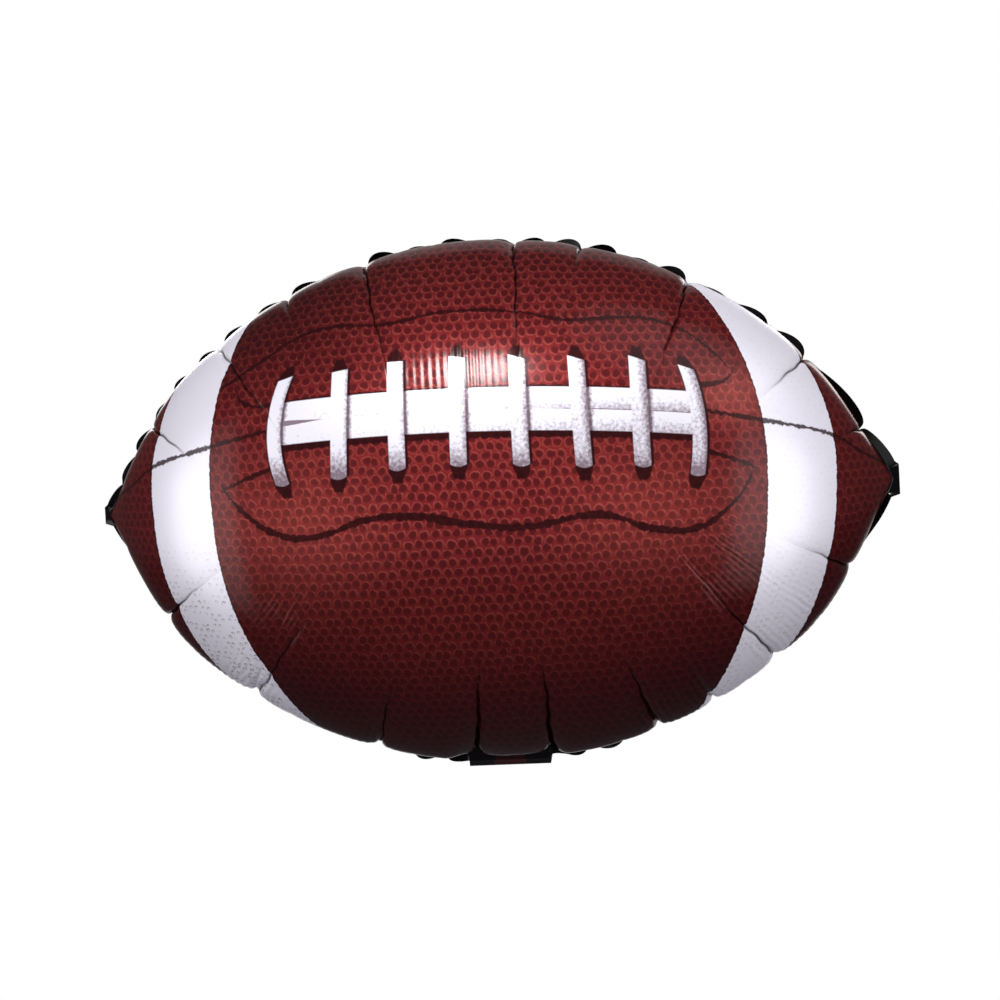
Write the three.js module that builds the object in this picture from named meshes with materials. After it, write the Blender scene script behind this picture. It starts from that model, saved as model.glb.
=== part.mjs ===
// A foil balloon cut and printed as an American football, inflated, with its filling tail folded
// behind it. Millimetres, +Z up, front towards -Y, origin on the fold line of the tail.
//
// Two film panels are heat-sealed face to face round a lens-shaped seam. Gas domes them apart, and
// because the seam then has to shorten, the film gathers into creases that run in from the seam
// and the sealed edge outside it ruffles. Two thin valve films lie between the panels in the neck.
import * as THREE from 'three';

const { degToRad, smoothstep } = THREE.MathUtils;

// Envelope as inflated, measured over the sealed edge
const LENGTH = 460;
const HEIGHT = 301;
const DEPTH = 164;
const SEAL_WIDTH = 8;
const TIP_SEAL = 4;
const TIP_TAB_HEIGHT = 18;

// Film, and the clearance that plies lying on each other keep
const PANEL_FILM = 0.05;
const VALVE_FILM = 0.03;
const PLY_GAP = 0.3;

// Tail, cut in one with the panels, and the valve inside it
const TAIL_WIDTH = 47;
const TAIL_LENGTH = 75;
const TAIL_CORNER = 6;
const NECK_DROP = 4;
const FOLD_ANGLE = 108;
const VALVE_WIDTH = 28;
const VALVE_REACH = 95;
const VALVE_INSET = 3;
const VALVE_CORNER = 4;

// Dome: the exponent of its cross-section, and how much fuller than the seam its ends stay
const SECTION_EXPONENT = 2.5;
const END_FULLNESS = 0.5;

// Puckers: main creases deepen with their reach, small ones part the scallops of the sealed edge
const CREASE_SLOPE = 0.045;
const CREASE_WIDTH = 4.5;
const SCALLOP_CREASE_DEPTH = 0.8;
const SCALLOP_CREASE_REACH = 18;

// Lobes between the creases bulge out over the seam, and less so from this share of the way to a tip
const TOP_SWELL = 5.5;
const BOTTOM_SWELL = 8.5;
const SWELL_REACH = 14;
const SWELL_FADE = 0.65;

// Scallops of the sealed edge: their pitch and what it gains to the right tip, what is left
// of the edge between two of them, how they ruffle, and how far they are tucked behind the balloon
const SCALLOP_PITCH = 22;
const SCALLOP_STRETCH = 36;
const SCALLOP_GAP = 2;
const RUFFLE = 2.4;
const BOTTOM_TUCK = 45;
const LEFT_TUCK = 22;

// Main creases: where each leaves the seam, as a share of its arc from the middle (0) to the right
// tip (1) or the left tip (-1), and how far it runs in over the dome
const TOP_CREASES = [
  { at: 0.88, reach: 35 },
  { at: 0.7, reach: 60 },
  { at: 0.42, reach: 85 },
  { at: 0.2, reach: 30 },
  { at: 0.06, reach: 95 },
  { at: -0.24, reach: 95 },
  { at: -0.41, reach: 35 },
  { at: -0.58, reach: 90 },
  { at: -0.79, reach: 55 },
];
const BOTTOM_CREASES = [
  { at: -0.76, reach: 60 },
  { at: -0.53, reach: 100 },
  { at: -0.26, reach: 75 },
  { at: 0.31, reach: 95 },
  { at: 0.43, reach: 35 },
  { at: 0.58, reach: 100 },
  { at: 0.81, reach: 60 },
];
const NECK_CREASE_REACH = 85;

// Facets: steps along a scallop, and the domes' rings as the stations that each one skips
const SCALLOP_STEPS = 6;
const NECK_STEPS = 6;
const RING_STRIDES = [6, 6, 6, 3, 3, 3, 2, 2, 1, 1];
const SPINE_SHARE = 0.55;
const SPINE_STEPS = 24;

// Seam: two arcs that meet at the tips
const seamHalfLength = LENGTH / 2 - TIP_SEAL;
const seamHalfHeight = HEIGHT / 2 - SEAL_WIDTH;
const seamRadius = (seamHalfLength ** 2 + seamHalfHeight ** 2) / (2 * seamHalfHeight);
const arcCentre = seamRadius - seamHalfHeight;
const tipAngle = Math.asin(seamHalfLength / seamRadius);
const centreHeight = HEIGHT / 2 + NECK_DROP;

// Plies at the seam, and at the neck, where the valve films lie between them
const sealOffset = PLY_GAP / 2;
const neckOffset = 1.5 * PLY_GAP + VALVE_FILM;
const domeHalfDepth = DEPTH / 2 - sealOffset - PANEL_FILM;

// Fold: both edges stand back from its axis so that the plies clear each other folded either way
const foldRadians = degToRad(FOLD_ANGLE);
const stackHalf = neckOffset + PANEL_FILM;
const foldSetback = stackHalf * Math.tan(foldRadians / 2) + PLY_GAP / (2 * Math.cos(foldRadians / 2));

const neckShare = Math.asin(TAIL_WIDTH / 2 / seamRadius) / tipAngle;
const neckCreases = [
  { at: -neckShare, reach: NECK_CREASE_REACH },
  { at: neckShare, reach: NECK_CREASE_REACH },
];

const arcLength = (share) => share * tipAngle * seamRadius;
const seamHalfHeightAt = (x) => Math.sqrt(seamRadius ** 2 - x ** 2) - arcCentre;

// A point of the seam: side is 1 on the top arc and -1 on the bottom one.
function station(share, side, scallop) {
  const angle = share * tipAngle;
  const isTip = Math.abs(share) === 1;
  return {
    share,
    side,
    scallop,
    x: seamRadius * Math.sin(angle),
    z: isTip ? 0 : side * (seamRadius * Math.cos(angle) - arcCentre),
    outX: isTip ? Math.sign(share) : Math.sin(angle),
    outZ: isTip ? 0 : side * Math.cos(angle),
    turn: side > 0 ? (1 - share) / 4 : 0.5 + (share + 1) / 4,
    neck: false,
  };
}

// Stations from one crease to the next, with whole scallops between them; the last is left out.
function scallopRun(from, to, side, firstIndex) {
  const pitch = SCALLOP_PITCH + SCALLOP_STRETCH * Math.max((from + to) / 2, 0) ** 3;
  const scallops = Math.max(1, Math.round(Math.abs(arcLength(to - from)) / pitch));
  const steps = scallops * SCALLOP_STEPS;
  return Array.from({ length: steps }, (_, i) => {
    const share = from + ((to - from) * i) / steps;
    const phase = (i % SCALLOP_STEPS) / SCALLOP_STEPS;
    const lean = (firstIndex + Math.floor(i / SCALLOP_STEPS)) % 2 ? 1 : -1;
    return station(share, side, { phase, lean });
  });
}

// Stations across the neck: its edges, and an even run where the valve films pass.
function neckRun() {
  const valveHalf = VALVE_WIDTH / 2 + PLY_GAP;
  const across = [-TAIL_WIDTH / 2];
  for (let i = 0; i <= NECK_STEPS; i += 1) across.push(valveHalf * ((2 * i) / NECK_STEPS - 1));
  return across.map((x, i) => {
    const share = Math.asin(x / seamRadius) / tipAngle;
    return { ...station(share, -1, { phase: 0.5, lean: 0 }), neck: true, edge: i === 0 };
  });
}

// All stations, once round from the right tip over the top.
function seamStations() {
  const stations = [];
  const addRuns = (stops, side) => {
    for (let i = 0; i + 1 < stops.length; i += 1) {
      const isNeck = side < 0 && stops[i] === -neckShare;
      const run = isNeck ? neckRun() : scallopRun(stops[i], stops[i + 1], side, i);
      stations.push(...run);
    }
  };
  addRuns([1, ...TOP_CREASES.map((c) => c.at), -1], 1);
  const bottom = [...BOTTOM_CREASES, ...neckCreases].map((c) => c.at).sort((a, b) => a - b);
  addRuns([-1, ...bottom, 1], -1);
  return stations;
}

const stations = seamStations();
const smallCreases = stations
  .filter((s) => s.scallop.phase === 0)
  .map((s) => ({ side: s.side, at: s.share, reach: SCALLOP_CREASE_REACH, depth: SCALLOP_CREASE_DEPTH }));
const mainCreases = [
  ...TOP_CREASES.map((c) => ({ ...c, side: 1 })),
  ...[...BOTTOM_CREASES, ...neckCreases].map((c) => ({ ...c, side: -1 })),
].map((c) => ({ ...c, depth: CREASE_SLOPE * c.reach }));
const creases = [...mainCreases, ...smallCreases];

// How far a crease draws the dome in, at a distance along the film from the seam: a sharp valley
// that is deepest at the seam and runs out at its reach.
function puckerDepth(share, side, fromSeam) {
  let deepest = 0;
  for (const crease of creases) {
    if (crease.side !== side || fromSeam >= crease.reach) continue;
    const fade = (1 - fromSeam / crease.reach) ** 1.5;
    const aside = Math.abs(arcLength(share - crease.at));
    deepest = Math.max(deepest, crease.depth * fade * Math.exp(-aside / CREASE_WIDTH));
  }
  return deepest;
}

// How far the lobes bulge out over the seam. They leave the neck room to fold.
function lobeSwell(share, side, fromSeam) {
  const toTip = smoothstep(Math.abs(share), SWELL_FADE, 1);
  const pastNeck = side > 0 ? 1 : smoothstep(Math.abs(arcLength(share)), TAIL_WIDTH / 2, TAIL_WIDTH);
  const height = (side > 0 ? TOP_SWELL : BOTTOM_SWELL) * (1 - toTip) * pastNeck;
  const rise = fromSeam / SWELL_REACH;
  return height * rise * Math.exp(1 - rise);
}

// Half depth of the smooth dome over a point of the seam's plane.
function domeHeight(x, z) {
  const halfHeight = Math.max(seamHalfHeightAt(x), 1e-9);
  const girth = halfHeight / seamHalfHeight;
  const halfDepth = domeHalfDepth * girth * (1 + END_FULLNESS * (1 - girth));
  const across = Math.min(Math.abs(z) / halfHeight, 1);
  return halfDepth * Math.sqrt(1 - across ** SECTION_EXPONENT);
}

// A panel's outer face as a height over the seam's plane, on the ring that is this share of the
// way from the spine to the seam.
function domePoint(s, ringShare) {
  const out = Math.sin((ringShare * Math.PI) / 2);
  const spineX = SPINE_SHARE * s.x;
  const x = spineX + out * (s.x - spineX);
  const z = out * s.z;
  const offset = (s.neck && !s.edge ? neckOffset : sealOffset) + PANEL_FILM;
  const height = ringShare === 1 ? 0 : domeHeight(x, z);
  const reachIn = Math.hypot(s.x - spineX, s.z);
  const fromSeam = ((1 - ringShare) * Math.PI * (reachIn + domeHalfDepth)) / 4;
  const depth = puckerDepth(s.share, s.side, fromSeam) - lobeSwell(s.share, s.side, fromSeam);
  const lean = (1 - ringShare) * (Math.PI / 2);
  return {
    x: x - depth * Math.cos(lean) * s.outX,
    z: z - depth * Math.cos(lean) * s.outZ,
    height: Math.max(height - depth * Math.sin(lean), 0) + offset,
    ruffle: 0,
  };
}

// How far the sealed edge is turned to the back, in radians: along the bottom, but not by the neck
// or at the right end, and less at the upper left.
function tuckAngle(s) {
  if (s.side > 0) return degToRad(LEFT_TUCK) * (1 - smoothstep(s.share, -0.66, -0.5));
  const pastNeck = smoothstep(Math.abs(arcLength(s.share)), TAIL_WIDTH, 1.6 * TAIL_WIDTH);
  return degToRad(BOTTOM_TUCK) * pastNeck * (1 - smoothstep(s.share, 0.86, 0.96));
}

// The outer edge of the sealed band: scalloped, ruffled and tucked, squared at the tips, and running
// down to the fold across the neck.
function sealEdgePoint(s) {
  const seam = domePoint(s, 1);
  if (s.neck || s.share === neckShare) return { ...seam, x: s.x, z: foldSetback - centreHeight };
  const bow = Math.sin(Math.PI * s.scallop.phase);
  const width = SCALLOP_GAP + (SEAL_WIDTH - SCALLOP_GAP) * bow;
  const tuck = tuckAngle(s);
  const edge = {
    x: seam.x + s.outX * width * Math.cos(tuck),
    z: seam.z + s.outZ * width * Math.cos(tuck),
    height: seam.height,
    ruffle: s.scallop.lean * RUFFLE * bow * Math.cos(tuck) + width * Math.sin(tuck),
  };
  if (Math.abs(edge.z) < TIP_TAB_HEIGHT / 2) edge.x = Math.sign(s.share) * (LENGTH / 2);
  return edge;
}

// Triangles between two runs of vertices that go the same way round, stepping along whichever run
// lags behind, so the two may have different counts.
function stitch(outer, inner, triangles) {
  let i = 0;
  let j = 0;
  while (i + 1 < outer.length || j + 1 < inner.length) {
    const outerTurn = i + 1 < outer.length ? outer[i + 1].turn : Infinity;
    const innerTurn = j + 1 < inner.length ? inner[j + 1].turn : Infinity;
    if (outerTurn <= innerTurn) {
      triangles.push(outer[i].id, outer[i + 1].id, inner[j].id);
      i += 1;
    } else {
      triangles.push(outer[i].id, inner[j + 1].id, inner[j].id);
      j += 1;
    }
  }
}

const closed = (ring) => [...ring, { ...ring[0], turn: ring[0].turn + 1 }];

// A whole panel as a shell of film. facing is -1 for the front panel and 1 for the back one.
function panelGeometry(facing) {
  const positions = [];
  const addVertex = (p, turn) => {
    positions.push(p.x, p.ruffle + facing * p.height, p.z + centreHeight);
    return { id: positions.length / 3 - 1, turn };
  };

  const rings = RING_STRIDES.map((stride, i) => {
    const ringShare = (i + 1) / RING_STRIDES.length;
    const onRing = stations.filter((_, n) => n % stride === 0);
    return onRing.map((s) => addVertex(domePoint(s, ringShare), s.turn));
  });
  rings.push(stations.map((s) => addVertex(sealEdgePoint(s), s.turn)));

  const spine = Array.from({ length: SPINE_STEPS + 1 }, (_, i) => {
    const share = 1 - (2 * i) / SPINE_STEPS;
    const x = SPINE_SHARE * seamRadius * Math.sin(share * tipAngle);
    const height = domeHeight(x, 0) + sealOffset + PANEL_FILM;
    return addVertex({ x, z: 0, height, ruffle: 0 }, (1 - share) / 4);
  });

  const sheet = [];
  const firstRing = closed(rings[0]);
  const leftTip = firstRing.findIndex((v) => v.turn === 0.5);
  const spineBack = [...spine].reverse().map((v) => ({ ...v, turn: 1 - v.turn }));
  stitch(firstRing.slice(0, leftTip + 1), spine, sheet);
  stitch(firstRing.slice(leftTip), spineBack, sheet);
  for (let i = 0; i + 1 < rings.length; i += 1) stitch(closed(rings[i + 1]), closed(rings[i]), sheet);

  const rim = closed(rings.at(-1)).map((v) => v.id);
  return filmShell(positions, facing < 0 ? sheet : sheet.toReversed(), facing < 0 ? rim : rim.toReversed());
}

// A sheet given the film's thickness on its inner side and closed along its rim.
function filmShell(positions, sheet, rim) {
  const face = new THREE.BufferGeometry();
  face.setAttribute('position', new THREE.Float32BufferAttribute(positions, 3));
  face.setIndex(sheet);
  face.computeVertexNormals();
  const normals = face.getAttribute('normal').array;
  const count = positions.length / 3;
  const inner = positions.map((value, i) => value - PANEL_FILM * normals[i]);

  const triangles = [...sheet];
  for (let i = 0; i < sheet.length; i += 3) {
    triangles.push(sheet[i] + count, sheet[i + 2] + count, sheet[i + 1] + count);
  }
  for (let i = 0; i + 1 < rim.length; i += 1) {
    triangles.push(rim[i + 1], rim[i], rim[i] + count);
    triangles.push(rim[i + 1], rim[i] + count, rim[i + 1] + count);
  }

  const shell = new THREE.BufferGeometry();
  shell.setAttribute('position', new THREE.Float32BufferAttribute([...positions, ...inner], 3));
  shell.setIndex(triangles);
  shell.computeVertexNormals();
  return shell;
}

// A flat strip of film, square at one end and with round corners at the other. It lies in the
// XZ plane from z = start to z = end, with its thickness from y = -thickness to y = 0.
function stripGeometry(width, start, end, corner, thickness) {
  const half = width / 2;
  const way = Math.sign(end - start);
  const round = Math.min(corner, half);
  const outline = new THREE.Shape();
  outline.moveTo(-half, start);
  outline.lineTo(half, start);
  outline.lineTo(half, end - way * round);
  outline.quadraticCurveTo(half, end, half - round, end);
  outline.lineTo(round - half, end);
  outline.quadraticCurveTo(-half, end, -half, end - way * round);
  outline.closePath();
  const strip = new THREE.ExtrudeGeometry(outline, { depth: thickness, bevelEnabled: false, curveSegments: 4 });
  return strip.rotateX(Math.PI / 2);
}

function addPiece(parent, name, geometry, material, y = 0) {
  const mesh = new THREE.Mesh(geometry, material.clone());
  mesh.name = name;
  mesh.position.y = y;
  parent.add(mesh);
}

const printedFilm = new THREE.MeshStandardMaterial({ color: 0x6e3f28, roughness: 0.28, metalness: 0.35 });
const blackFilm = new THREE.MeshStandardMaterial({ color: 0x141314, roughness: 0.25, metalness: 0.3 });
const clearFilm = new THREE.MeshStandardMaterial({ color: 0xd9dde0, roughness: 0.35, metalness: 0 });

// Each ply's outer face towards -Y: a strip reaches back from it by its own thickness
const frontPly = -neckOffset;
const backPly = neckOffset + PANEL_FILM;
const frontValve = -PLY_GAP / 2;
const backValve = PLY_GAP / 2 + VALVE_FILM;

const balloon = new THREE.Group();
addPiece(balloon, 'front_panel', panelGeometry(-1), printedFilm);
addPiece(balloon, 'back_panel', panelGeometry(1), printedFilm);

const valveTop = NECK_DROP + SEAL_WIDTH + VALVE_REACH;
const valveFilm = stripGeometry(VALVE_WIDTH, foldSetback, valveTop, VALVE_CORNER, VALVE_FILM);
addPiece(balloon, 'valve_film_front', valveFilm, clearFilm, frontValve);
addPiece(balloon, 'valve_film_back', valveFilm, clearFilm, backValve);

// The tail turns about the fold, from hanging straight down to lying behind the balloon
const tail = new THREE.Group();
tail.rotation.x = foldRadians;
balloon.add(tail);

const tailEnd = -foldSetback - TAIL_LENGTH;
const tailPly = stripGeometry(TAIL_WIDTH, -foldSetback, tailEnd, TAIL_CORNER, PANEL_FILM);
addPiece(tail, 'front_tail', tailPly, blackFilm, frontPly);
addPiece(tail, 'back_tail', tailPly, blackFilm, backPly);

const inlet = stripGeometry(VALVE_WIDTH, -foldSetback, tailEnd + VALVE_INSET, VALVE_CORNER, VALVE_FILM);
addPiece(tail, 'valve_inlet_front', inlet, clearFilm, frontValve);
addPiece(tail, 'valve_inlet_back', inlet, clearFilm, backValve);

export default balloon;
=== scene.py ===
"""Looks of a football-shaped foil balloon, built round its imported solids, in metres."""
from __future__ import annotations

import logging
import math
from collections.abc import Callable
from dataclasses import dataclass
from enum import Enum
from functools import partial
from typing import Any

import bpy
import numpy as np
from mathutils import Matrix, Vector

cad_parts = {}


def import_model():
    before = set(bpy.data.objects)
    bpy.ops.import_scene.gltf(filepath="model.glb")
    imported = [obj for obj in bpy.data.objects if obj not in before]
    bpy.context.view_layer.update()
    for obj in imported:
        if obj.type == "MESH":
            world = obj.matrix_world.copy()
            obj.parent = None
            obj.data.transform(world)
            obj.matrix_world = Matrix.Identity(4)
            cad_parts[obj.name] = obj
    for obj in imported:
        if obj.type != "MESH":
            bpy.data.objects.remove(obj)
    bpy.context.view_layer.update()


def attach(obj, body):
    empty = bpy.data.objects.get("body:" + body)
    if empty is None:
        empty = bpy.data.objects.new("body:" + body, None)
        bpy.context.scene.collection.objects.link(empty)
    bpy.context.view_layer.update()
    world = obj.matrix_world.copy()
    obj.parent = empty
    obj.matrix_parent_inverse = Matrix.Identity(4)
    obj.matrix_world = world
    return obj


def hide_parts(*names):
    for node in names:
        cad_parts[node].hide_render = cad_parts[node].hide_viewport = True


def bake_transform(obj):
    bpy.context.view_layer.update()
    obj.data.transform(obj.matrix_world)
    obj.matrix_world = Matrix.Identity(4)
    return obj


LOG = logging.getLogger("foil_balloon")
MM = 0.001
MODE_SETTINGS = {
    "Math": "operation", "VectorMath": "operation", "Mix": "data_type", "MapRange": "interpolation_type",
    "TexNoise": "noise_dimensions", "TexVoronoi": "voronoi_dimensions",
}

Array = np.ndarray
Node = bpy.types.Node
Adder = Callable[..., Node]
Span = tuple[float, ...]
Rows = tuple[tuple[float, ...], ...]


class Side(Enum):
    """The two arcs of the seam."""

    TOP = 1
    BOTTOM = -1


class Facing(Enum):
    """The two panels, by the way they look along Y."""

    FRONT = -1
    BACK = 1


def linear(code: str) -> tuple[float, float, float, float]:
    """Turns an sRGB hex colour into linear RGBA.

    Args:
        code: Six hex digits after a hash mark.

    Returns:
        Linear red, green, blue and an alpha of one.
    """
    encoded = [int(code[i:i + 2], 16) / 255 for i in (1, 3, 5)]
    decoded = [c / 12.92 if c <= 0.04045 else ((c + 0.055) / 1.055) ** 2.4 for c in encoded]
    return (*decoded, 1.0)


def add_node(tree: bpy.types.NodeTree, kind: str, *inputs: Any, **settings: Any) -> Node:
    """Adds a shader node with its settings, constants and links.

    Args:
        tree: The node tree.
        kind: The node's type, without its common first part, and after a space its mode, if any.
        *inputs: Nodes, sockets or constants in the order of the open sockets, or a dict by name.
        **settings: The node's properties; points are those that a Float Curve runs through.

    Returns:
        The new node.
    """
    kind, _, mode = kind.partition(" ")
    node = tree.nodes.new("ShaderNode" + kind)
    if mode:
        setattr(node, MODE_SETTINGS[kind], mode)
    points = settings.pop("points", ())
    for name, value in settings.items():
        setattr(node, name, value)
    if points:
        line = node.mapping.curves[0].points
        for _ in points[len(line):]:
            line.new(0.0, 0.0)
        for knot, place in zip(line, points):
            knot.location = place
        node.mapping.update()
    open_sockets = [socket for socket in node.inputs if socket.enabled]
    named = bool(inputs) and isinstance(inputs[0], dict)
    for key, value in inputs[0].items() if named else enumerate(inputs):
        socket = node.inputs[key] if named else open_sockets[key]
        if isinstance(value, Node):
            value = next(output for output in value.outputs if output.enabled)
        if isinstance(value, bpy.types.NodeSocket):
            tree.links.new(value, socket)
        else:
            socket.default_value = value
    return node


def new_material(name: str) -> tuple[bpy.types.Material, Adder]:
    """Makes a material with an empty node tree.

    Args:
        name: The material's name.

    Returns:
        The material, and what adds a node to it.
    """
    material = bpy.data.materials.new(name)
    material.use_nodes = True
    material.node_tree.nodes.clear()
    return material, partial(add_node, material.node_tree)


def film_place(n: Adder, film_span: float) -> Node:
    """Finds the place on the flat film.

    Args:
        n: Adds a node.
        film_span: Width of film, in metres, that the UV square covers.

    Returns:
        The node that gives the place as a vector, in millimetres from the film's middle.
    """
    centred = n("VectorMath SUBTRACT", n("UVMap", uv_map="film"), (0.5, 0.5, 0.0))
    return n("VectorMath SCALE", centred, film_span / MM)


def smooth_step(values: Array | float, low: float, high: float) -> Array | float:
    """Eases values along a cubic.

    Args:
        values: What to ease.
        low: Where the result is 0.
        high: Where it is 1.

    Returns:
        The eased values, from 0 to 1.
    """
    t = np.clip((values - low) / (high - low), 0.0, 1.0)
    return t * t * (3 - 2 * t)


@dataclass(frozen=True)
class Crease:
    """A main crease: its share of the seam's arc, from the middle to a tip, its reach and its drift."""

    at: float
    reach: float
    drift: float = 0.0


@dataclass
class GridMesh:
    """Vertices, quads and their print coordinates, ready to become a mesh object."""

    points: Array
    quads: Array
    film: Array
    from_seam: Array
    pinch: Array

    def make(self, name: str, film_span: float) -> bpy.types.Object:
        """Makes a smooth mesh object with the film's UV map, its distance from the seam and the painted
        shade of its folds.

        Args:
            name: The piece's name.
            film_span: Width of film, in metres, that the UV square covers.

        Returns:
            The linked object, at the origin.
        """
        mesh = bpy.data.meshes.new(name)
        mesh.from_pydata(self.points.tolist(), [], self.quads.tolist())
        loops = np.empty(len(mesh.loops), dtype=np.int32)
        mesh.loops.foreach_get("vertex_index", loops)
        uv = mesh.uv_layers.new(name="film")
        uv.data.foreach_set("uv", (self.film[loops] / film_span + 0.5).astype(np.float32).ravel())
        for label, values in (("from_seam", self.from_seam / MM), ("pinch", self.pinch)):
            layer = mesh.attributes.new(label, "FLOAT", "POINT")
            layer.data.foreach_set("value", values.astype(np.float32))
        mesh.polygons.foreach_set("use_smooth", np.ones(len(mesh.polygons), dtype=bool))
        mesh.update()
        piece = bpy.data.objects.new(name, mesh)
        bpy.context.scene.collection.objects.link(piece)
        return piece


def grid_quads(index: Array, outward: bool) -> Array:
    """Quads of a vertex grid.

    Args:
        index: Vertex numbers by row and column.
        outward: Whether the corners run first along the columns.

    Returns:
        One row of four vertex numbers for each cell.
    """
    corners = [index[:-1, :-1], index[:-1, 1:], index[1:, 1:], index[1:, :-1]]
    if not outward:
        corners.reverse()
    return np.stack(corners, axis=-1).reshape(-1, 4)


@dataclass
class Envelope:
    """The two panels: domes of film that gas holds apart, drawn in at a lens-shaped seam.

    The seam is two arcs that meet at the tips. A panel is a grid of columns, each a line from the
    spine of the dome to a point of the seam and on over the sealed edge.
    """

    length: float = 0.460
    height: float = 0.301
    depth: float = 0.164
    seal_width: float = 0.008
    tip_seal: float = 0.004
    tip_tab_height: float = 0.018
    left_tab_share: float = 0.65
    left_tab_lean: float = 0.003
    neck_drop: float = 0.004
    film: float = 0.05 * MM
    ply_gap: float = 0.3 * MM
    valve_film: float = 0.03 * MM
    section_exponent: float = 2.5
    end_fullness: float = 0.5
    spine_share: float = 0.55
    tail_width: float = 0.047
    neck_fillet: float = 0.010
    neck_end: float = 0.003

    # Main creases: a broad valley, a sharp fold along its bottom with jogs by size and pitch, and the
    # painted shade where the fold pinches shut
    crease_slope: float = 0.012
    crease_width: float = 0.009
    crease_exponent: float = 1.5
    fold_depth: float = 3.0 * MM
    fold_width: float = 0.55 * MM
    fold_ease: Span = (0.05, 0.45)
    jogs: Rows = ((0.5 * MM, 0.007), (0.4 * MM, 0.0025))
    jog_start: float = 0.006
    any_phase: float = 6.0
    fold_shade_width: float = 0.65 * MM
    least_fold_shade: float = 0.3 * MM
    neck_fold_shade_width: float = 1.6 * MM
    neck_fold_depth: float = 6.0 * MM
    neck_fold_width: float = 1.0 * MM
    neck_mouth: float = 5.0 * MM
    neck_mouth_reach: float = 0.009
    neck_mouth_width: float = 0.004

    # Small creases between the scallops, each drawn at random
    small_reach: Span = (0.014, 0.030)
    small_drift: float = 0.12
    small_depth: Span = (0.5, 1.3)
    small_width: float = 0.0025

    # Lobes that bulge out over the seam
    lobe_notch: float = 0.3
    notch_width: float = 0.003
    top_swell: float = 6.3 * MM
    bottom_swell: float = 9.5 * MM
    swell_reach: float = 0.014
    swell_fade: float = 0.65
    neck_ease: float = 0.28
    neck_ease_end: float = 0.75

    # Ripples beside the long lower creases, and the fine comb over the front's tautest part
    ripple_pitch: float = 4.2 * MM
    ripple_height: float = 0.36 * MM
    ripple_far: float = 0.008
    ripple_near: float = 0.040
    ripple_turn: float = 0.7
    ripple_creases: Span = (0.07, 0.10)
    ripple_start: Span = (0.004, 0.018)
    ripple_thin: Span = (0.025, 0.06)
    ripple_thinning: float = 0.75
    ripple_end: Span = (0.9, 1.3)
    comb_pitch: float = 4.0 * MM
    comb_height: float = 0.042 * MM
    comb_middle: tuple[float, float] = (-0.018, 0.085)
    comb_reach: tuple[float, float] = (0.031, 0.026)
    comb_drift: Rows = ((1.5, 0.0083), (0.8, 0.012))

    # Scallops of the sealed edge
    scallop_pitch: float = 0.022
    scallop_stretch: float = 0.040
    scallop_gap: float = 2.0 * MM
    scallop_skew: float = 0.65
    top_flatness: float = 0.7
    bottom_flatness: float = 0.4
    ruffle: float = 2.4 * MM
    bottom_tuck: float = 45.0
    left_tuck: float = 22.0
    left_tuck_fade: Span = (-0.66, -0.50)
    right_tuck_fade: Span = (0.86, 0.96)
    neck_tuck_fade: Span = (1.0, 1.6)

    # Grid, with its columns closer together where the film is finer
    columns: int = 940
    dome_rows: int = 46
    seal_rows: int = 4
    row_crowding: float = 1.25
    samples: int = 4001
    valley_density: tuple[float, float] = (1.2, 0.005)
    fold_density: tuple[float, float] = (8.0, 0.0013)
    drift_density: float = 1.6
    drift_start: Span = (0.0, 0.1)
    drift_end: Span = (1.1, 0.9)
    comb_density: float = 2.5
    comb_columns: tuple[float, float] = (-0.0216, 0.0465)
    film_span: float = 0.6
    seed: int = 7

    top_creases: tuple[Crease, ...] = (
        Crease(0.88, 0.035), Crease(0.70, 0.060), Crease(0.42, 0.105, 0.1), Crease(0.20, 0.030),
        Crease(0.06, 0.120, 0.13), Crease(-0.24, 0.120, 0.06), Crease(-0.41, 0.035),
        Crease(-0.58, 0.110, 0.08), Crease(-0.79, 0.075),
    )
    bottom_creases: tuple[Crease, ...] = (
        Crease(-0.76, 0.070), Crease(-0.53, 0.115, 0.15), Crease(-0.26, 0.085, 0.1), Crease(0.31, 0.095),
        Crease(0.43, 0.035), Crease(0.58, 0.105), Crease(0.81, 0.060),
    )
    neck_creases: tuple[float, float] = (-0.018, 0.0245)
    neck_crease_reach: float = 0.116
    neck_crease_drift: float = 0.11
    top_lobes: tuple[float, ...] = (
        0.40, 0.55, 0.75, 1.05, 1.20, 1.25, 1.05, 1.00, 1.05, 0.65, 1.15, 0.75, 0.90, 0.65, 0.80, 1.00, 1.05,
        0.65, 1.10, 0.65, 1.00, 1.10, 0.75, 0.70,
    )
    bottom_lobes: tuple[float, ...] = (
        0.10, 0.60, 0.60, 0.60, 0.50, 0.60, 0.60, 0.50, 0.60, 1.30, 1.60, 1.70, 1.00, 1.00, 1.55, 1.75, 1.40,
        0.50, 0.60, 0.50, 0.70, 0.60, 0.30,
    )

    @property
    def half_length(self) -> float:
        """From the middle of the seam to a tip."""
        return self.length / 2 - self.tip_seal

    @property
    def half_height(self) -> float:
        """From the long axis to the seam, at the middle."""
        return self.height / 2 - self.seal_width

    @property
    def radius(self) -> float:
        """Radius of the seam's arcs."""
        return (self.half_length ** 2 + self.half_height ** 2) / (2 * self.half_height)

    @property
    def arc_centre(self) -> float:
        """How far an arc's centre lies beyond the long axis."""
        return self.radius - self.half_height

    @property
    def tip_angle(self) -> float:
        """Half the angle that an arc spans."""
        return math.asin(self.half_length / self.radius)

    @property
    def centre_height(self) -> float:
        """Height of the long axis over the fold."""
        return self.height / 2 + self.neck_drop

    @property
    def seal_offset(self) -> float:
        """A ply's outer face from the seam's plane."""
        return self.ply_gap / 2 + self.film

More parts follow.
